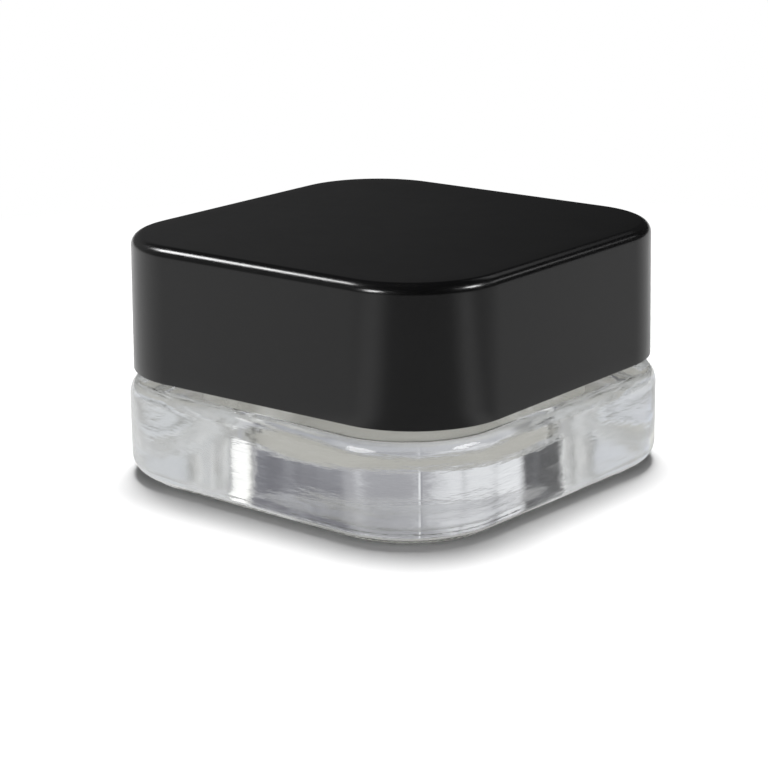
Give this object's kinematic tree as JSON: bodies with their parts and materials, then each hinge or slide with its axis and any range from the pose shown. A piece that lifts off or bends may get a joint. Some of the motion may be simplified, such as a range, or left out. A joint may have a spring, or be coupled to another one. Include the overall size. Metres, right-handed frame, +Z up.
{
  "type": "square glass specimen jar with push-and-turn screw lid",
  "caption": "Small square thick-walled clear glass jar with a round cavity and a square black push-and-turn screw lid.",
  "frame": {"origin": "centre of the base, on the surface that the jar stands on", "axes": "+Z up through the neck and lid; +X and +Y square to the glass's side walls"},
  "size_m": [0.038, 0.038, 0.0215],
  "materials": {
    "clear_glass": "clear flint glass, fire polished, with a faint mould seam",
    "lid_black": "satin black polypropylene, finely moulded",
    "cap_white": "natural white polypropylene",
    "spring_white": "white acetal",
    "liner_foam": "closed-cell polyethylene foam",
    "liner_film": "smooth white film"
  },
  "bodies": {
    "jar": {"glass_jar": "clear_glass"},
    "liner": {"liner_foam": "liner_foam", "liner_facing": "liner_film"},
    "threaded_cap": {"inner_cap": "cap_white"},
    "spring": {"spring_ring": "spring_white"},
    "lid": {"outer_shell": "lid_black"}
  },
  "joints": [
    {"name": "cap_rise", "type": "slide", "parent": "jar", "child": "liner", "axis": [0, 0, 1], "range_m": [0, 0.012]},
    {"name": "cap_turn", "type": "hinge", "parent": "liner", "child": "threaded_cap", "pos_m": [0, 0, 0.015], "axis": [0, 0, 1], "range_deg": [0, 1080]},
    {"name": "lid_spin", "type": "hinge", "parent": "threaded_cap", "child": "spring", "pos_m": [0, 0, 0.019], "axis": [0, 0, 1], "continuous": true},
    {"name": "push_down", "type": "slide", "parent": "spring", "child": "lid", "axis": [0, 0, 1], "range_m": [-0.0007, 0], "stiffness_N_per_m": 1500, "springref_m": 0.0004, "deforming": ["spring_ring"]}
  ],
  "couplings": [
    {"joint": "cap_turn", "follows": "cap_rise", "rad_per_m": 1570.8}
  ]
}
